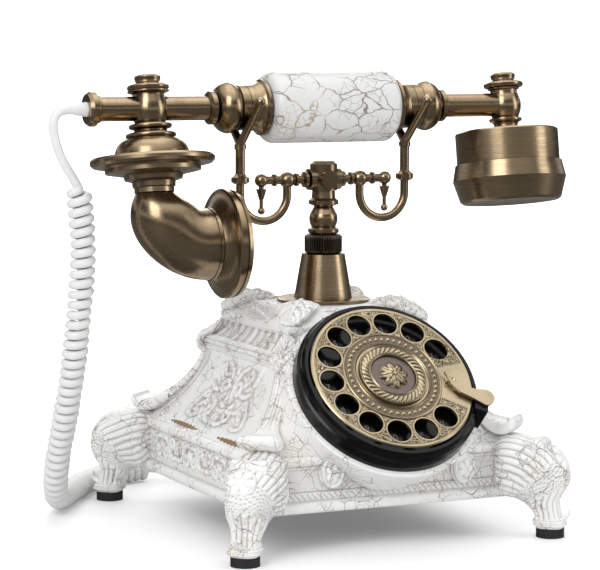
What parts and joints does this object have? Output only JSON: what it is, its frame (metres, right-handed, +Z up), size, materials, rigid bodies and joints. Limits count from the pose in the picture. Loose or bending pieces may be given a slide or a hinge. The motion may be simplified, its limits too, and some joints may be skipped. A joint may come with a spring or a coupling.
{
  "type": "rotary telephone",
  "caption": "Antique-style rotary desk telephone: carved footed base, tilted finger dial, sprung brass cradle, brass handset with crackled grip and coiled cord.",
  "frame": {"origin": "middle of the set's footprint, without the cord, on the floor plane", "axes": "+Z up, the dial faces -Y, +X to the right of someone facing the dial"},
  "size_m": [0.2927, 0.2585, 0.2385],
  "materials": {
    "cast_resin": "satin crackle",
    "antique_brass": "brushed antique",
    "crackled_grip": "gloss crackle",
    "dark_metal": "knurled",
    "black_plastic": "gloss",
    "steel": "plain",
    "bell_metal": "polished",
    "coil_winding": "enamelled wire",
    "board": "matte",
    "rubber_pad": "matte",
    "white_cord": "satin"
  },
  "bodies": {
    "base": {"base_housing": "cast_resin", "foot_pads": "rubber_pad", "bottom_plate": "steel", "plate_screws": "steel", "circuit_board": "board", "ringer_frame": "steel", "ringer_coils": "coil_winding", "gong_left": "bell_metal", "gong_right": "bell_metal", "rear_jack_panel": "black_plastic", "dial_bezel": "black_plastic", "number_plate": "black_plastic", "dial_frame": "steel", "dial_return_spring": "steel", "finger_stop": "antique_brass", "finger_stop_block": "black_plastic", "cone_cover": "antique_brass", "knurled_collar": "dark_metal", "guide_bush": "steel", "switch_bracket": "steel", "hook_switch": "black_plastic", "hook_spring": "steel", "cord_upper_lead": "white_cord", "cord_coil": "white_cord", "cord_lower_lead": "white_cord", "cord_plug": "white_cord"},
    "cradle": {"cradle_stem": "antique_brass", "cradle_hub": "antique_brass", "cradle_crossbar": "antique_brass", "cradle_pendants": "antique_brass", "cradle_hook_left": "antique_brass", "cradle_hook_right": "antique_brass", "cradle_fork_left": "antique_brass", "cradle_fork_right": "antique_brass"},
    "handset": {"handset_grip": "crackled_grip", "grip_cup_left": "antique_brass", "grip_cup_right": "antique_brass", "neck_ball_left": "antique_brass", "neck_ball_right": "antique_brass", "handset_tube": "antique_brass", "cord_end_collar": "antique_brass", "cord_gland": "white_cord", "mouthpiece_boss": "antique_brass", "mouthpiece_finial": "antique_brass", "mouthpiece_saucer": "antique_brass", "mouthpiece_elbow": "antique_brass", "mouthpiece_bell": "antique_brass", "mouthpiece_grille": "antique_brass", "microphone_capsule": "black_plastic", "earpiece_boss": "antique_brass", "earpiece_finial": "antique_brass", "receiver_drum": "antique_brass", "receiver_cap": "antique_brass", "receiver_speaker": "black_plastic"},
    "dial": {"finger_wheel": "antique_brass", "dial_medallion": "antique_brass", "dial_shaft": "steel"},
    "governor": {"governor_rotor": "steel"},
    "lever": {"switch_lever": "steel"},
    "clapper": {"ringer_clapper": "steel"}
  },
  "joints": [
    {"name": "cradle_plunge", "type": "slide", "parent": "base", "child": "cradle", "axis": [0, 0, 1], "range_m": [0, 0.0041], "stiffness_N_per_m": 500, "springref_m": 0.012, "deforming": ["hook_spring"]},
    {"name": "handset_lift", "type": "slide", "parent": "base", "child": "handset", "axis": [0, 0, 1], "range_m": [0, 0.12]},
    {"name": "dial_turn", "type": "hinge", "parent": "base", "child": "dial", "pos_m": [0, -0.0792, 0.0869], "axis": [0, 0.7247, -0.6891], "range_deg": [0, 315], "stiffness_Nm_per_rad": 0.012, "springref_deg": -34.38},
    {"name": "governor_spin", "type": "hinge", "parent": "base", "child": "governor", "pos_m": [-0.01875, -0.06833, 0.07656], "axis": [0, 0.7247, -0.6891], "range_deg": [-1300, 20]},
    {"name": "switch_tilt", "type": "hinge", "parent": "base", "child": "lever", "pos_m": [0, 0.0228, 0.0866], "axis": [-1, 0, 0], "range_deg": [0, 19]},
    {"name": "clapper_swing", "type": "hinge", "parent": "base", "child": "clapper", "pos_m": [0, 0.0328, 0.042], "axis": [0, 1, 0], "range_deg": [-3.2, 3.2], "stiffness_Nm_per_rad": 0.01}
  ],
  "couplings": [
    {"joint": "governor_spin", "follows": "dial_turn", "ratio": -4},
    {"joint": "cradle_plunge", "follows": "handset_lift", "ratio": 0.033333},
    {"joint": "switch_tilt", "follows": "handset_lift", "rad_per_m": 2.6667}
  ]
}
